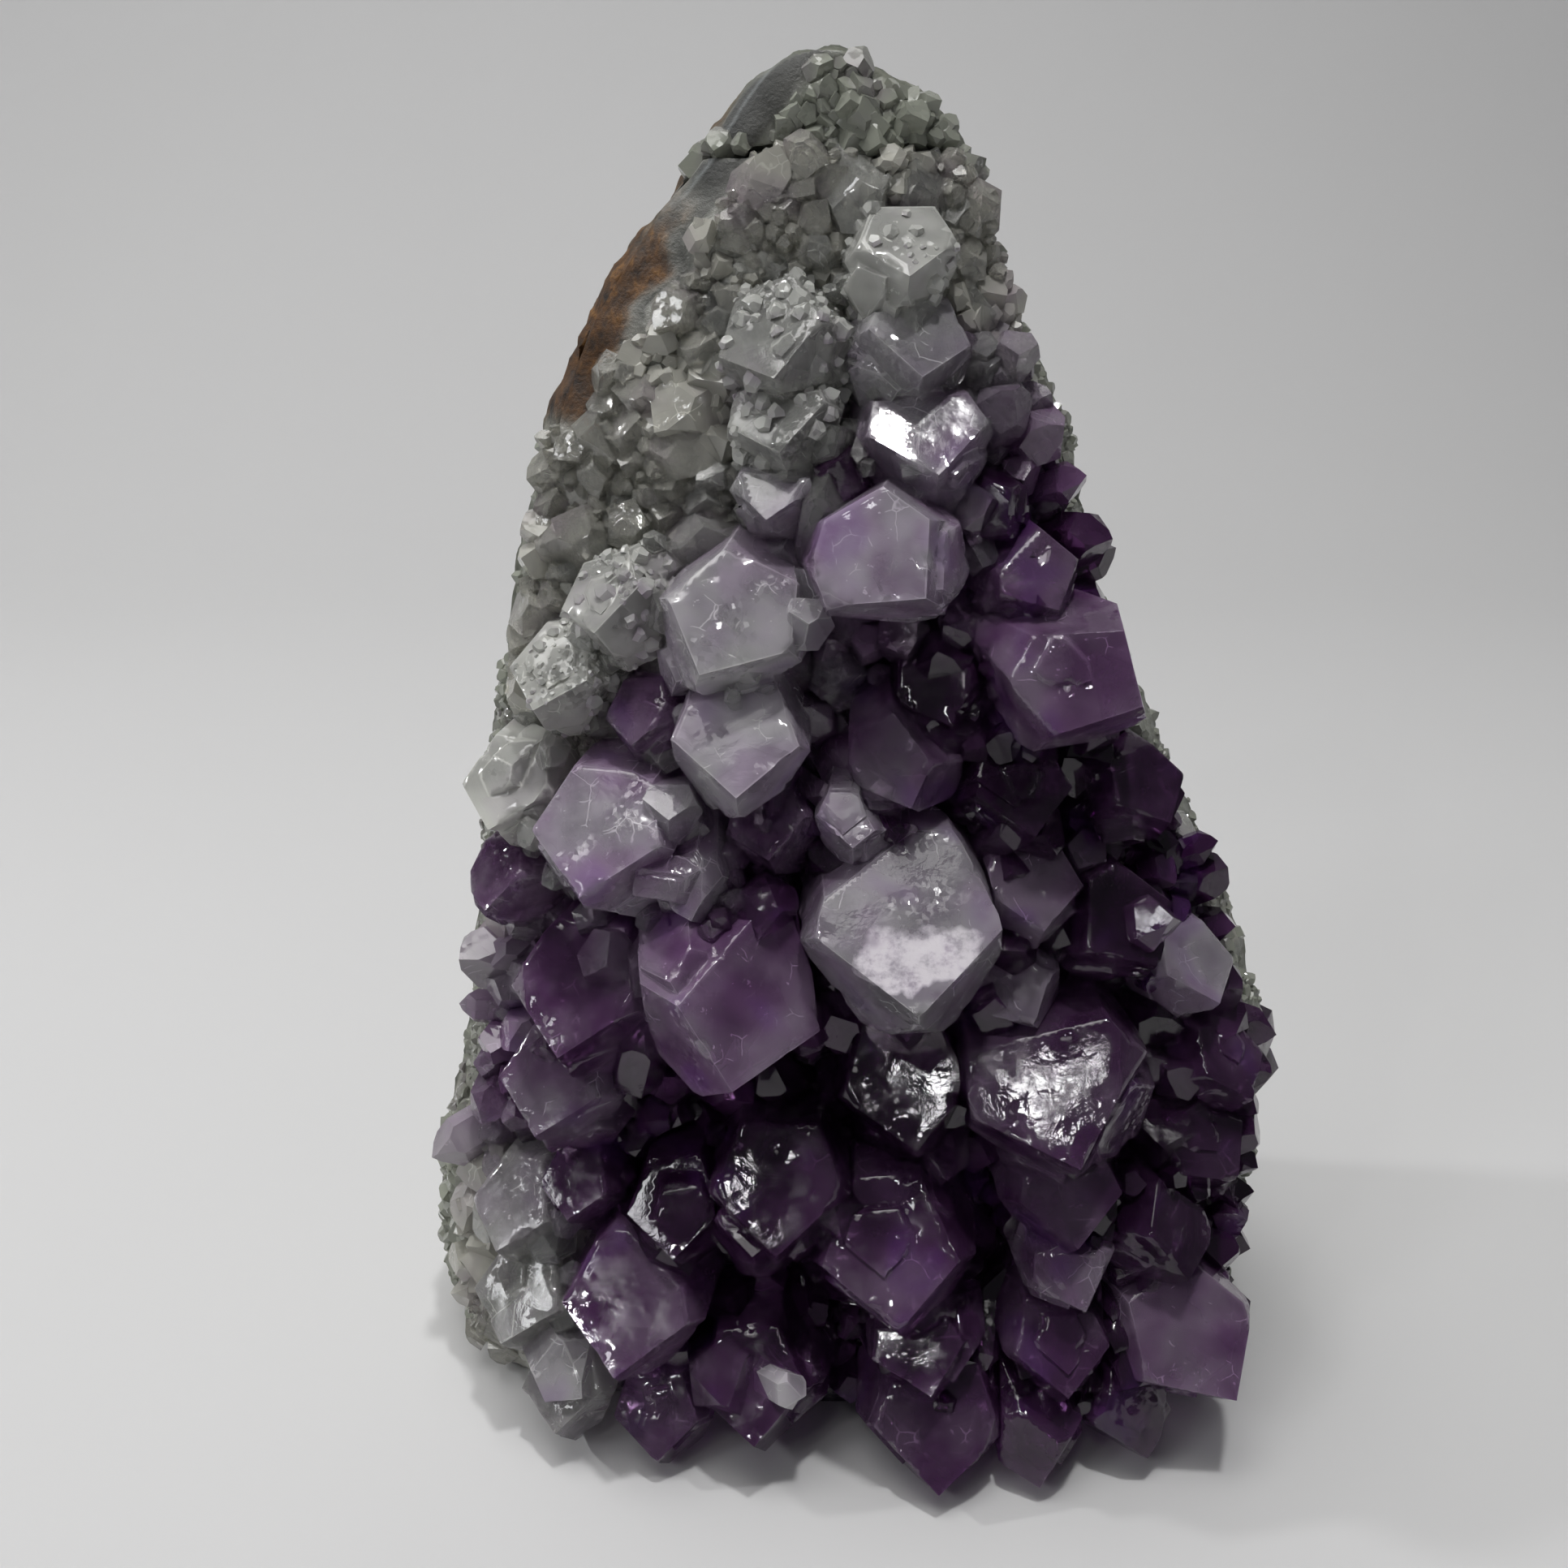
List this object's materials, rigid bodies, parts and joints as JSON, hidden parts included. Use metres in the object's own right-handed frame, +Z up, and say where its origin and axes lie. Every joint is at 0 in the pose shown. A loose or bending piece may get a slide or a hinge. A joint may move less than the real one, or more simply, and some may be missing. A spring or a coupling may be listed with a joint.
{
  "type": "amethyst geode",
  "caption": "Freestanding piece of amethyst geode wall: a basalt rind with a drusy quartz bed, covered in quartz and amethyst points, standing on a flat sawn base.",
  "frame": {"origin": "middle of the flat sawn base, at the height of the surface that the geode stands on", "axes": "+Z up along the height, -Y towards the crystal-covered front, +X to the right seen from the front"},
  "size_m": [0.0898, 0.0632, 0.13],
  "materials": {
    "basalt_rind": "rough weathered grey-green basalt with iron-stained edge and a sawn base",
    "drusy_quartz": "sparkling fine druse",
    "quartz_clear": "glossy translucent crystal",
    "quartz_milky": "satin milky crystal",
    "amethyst_pale": "glossy translucent pale lavender crystal",
    "amethyst_mid": "glossy translucent violet crystal",
    "amethyst_deep": "glossy deep violet crystal"
  },
  "bodies": {
    "root": {"basalt_rind": "basalt_rind", "drusy_quartz_bed": "drusy_quartz", "crown_quartz": "quartz_milky", "left_cap_quartz": "quartz_clear", "right_cap_quartz": "amethyst_pale", "grey_step_quartz": "quartz_clear", "sparkle_point": "amethyst_pale", "dark_dart": "amethyst_deep", "lilac_step": "amethyst_pale", "upper_dark_point": "amethyst_deep", "lavender_head": "amethyst_pale", "violet_cheek": "amethyst_mid", "right_spur": "amethyst_mid", "milk_lilac_head": "amethyst_pale", "round_hexagon": "amethyst_pale", "grey_wedge": "amethyst_mid", "clear_ledge": "quartz_clear", "left_clear_lump": "quartz_clear", "inner_dark_point": "amethyst_deep", "grey_lilac_blade": "amethyst_mid", "violet_field": "amethyst_deep", "brown_glint": "amethyst_mid", "frosted_dome": "amethyst_pale", "right_lilac_block": "amethyst_mid", "dark_wedge": "amethyst_deep", "edge_lilac": "amethyst_pale", "pale_giant": "amethyst_pale", "striped_column": "amethyst_mid", "mirror_giant": "amethyst_mid", "right_rounded": "amethyst_mid", "right_dark_tooth": "amethyst_deep", "white_shield": "quartz_milky", "frosted_giant": "amethyst_pale", "fan_crystal": "amethyst_pale", "violet_floor": "amethyst_mid", "left_giant": "amethyst_mid", "dark_pillow": "amethyst_deep", "left_edge_violet": "amethyst_mid", "left_lilac_block": "amethyst_mid", "milk_lilac_chip": "quartz_milky", "beige_lump": "quartz_milky", "small_violet_tile": "amethyst_mid", "smoke_block": "amethyst_deep", "violet_crest": "amethyst_mid", "lower_left_head": "amethyst_pale", "sunken_violet": "amethyst_deep", "lower_centre_head": "amethyst_mid", "lilac_roof": "amethyst_mid", "pink_block": "amethyst_pale", "dark_beak": "amethyst_deep", "right_foot_giant": "amethyst_pale", "speckled_tile": "amethyst_mid", "lower_right_tile": "amethyst_mid", "foot_centre": "amethyst_mid", "foot_point": "amethyst_mid", "foot_corner": "amethyst_deep", "foot_left": "amethyst_mid", "foot_left_centre": "amethyst_mid", "corner_milk": "quartz_milky"}
  },
  "joints": []
}
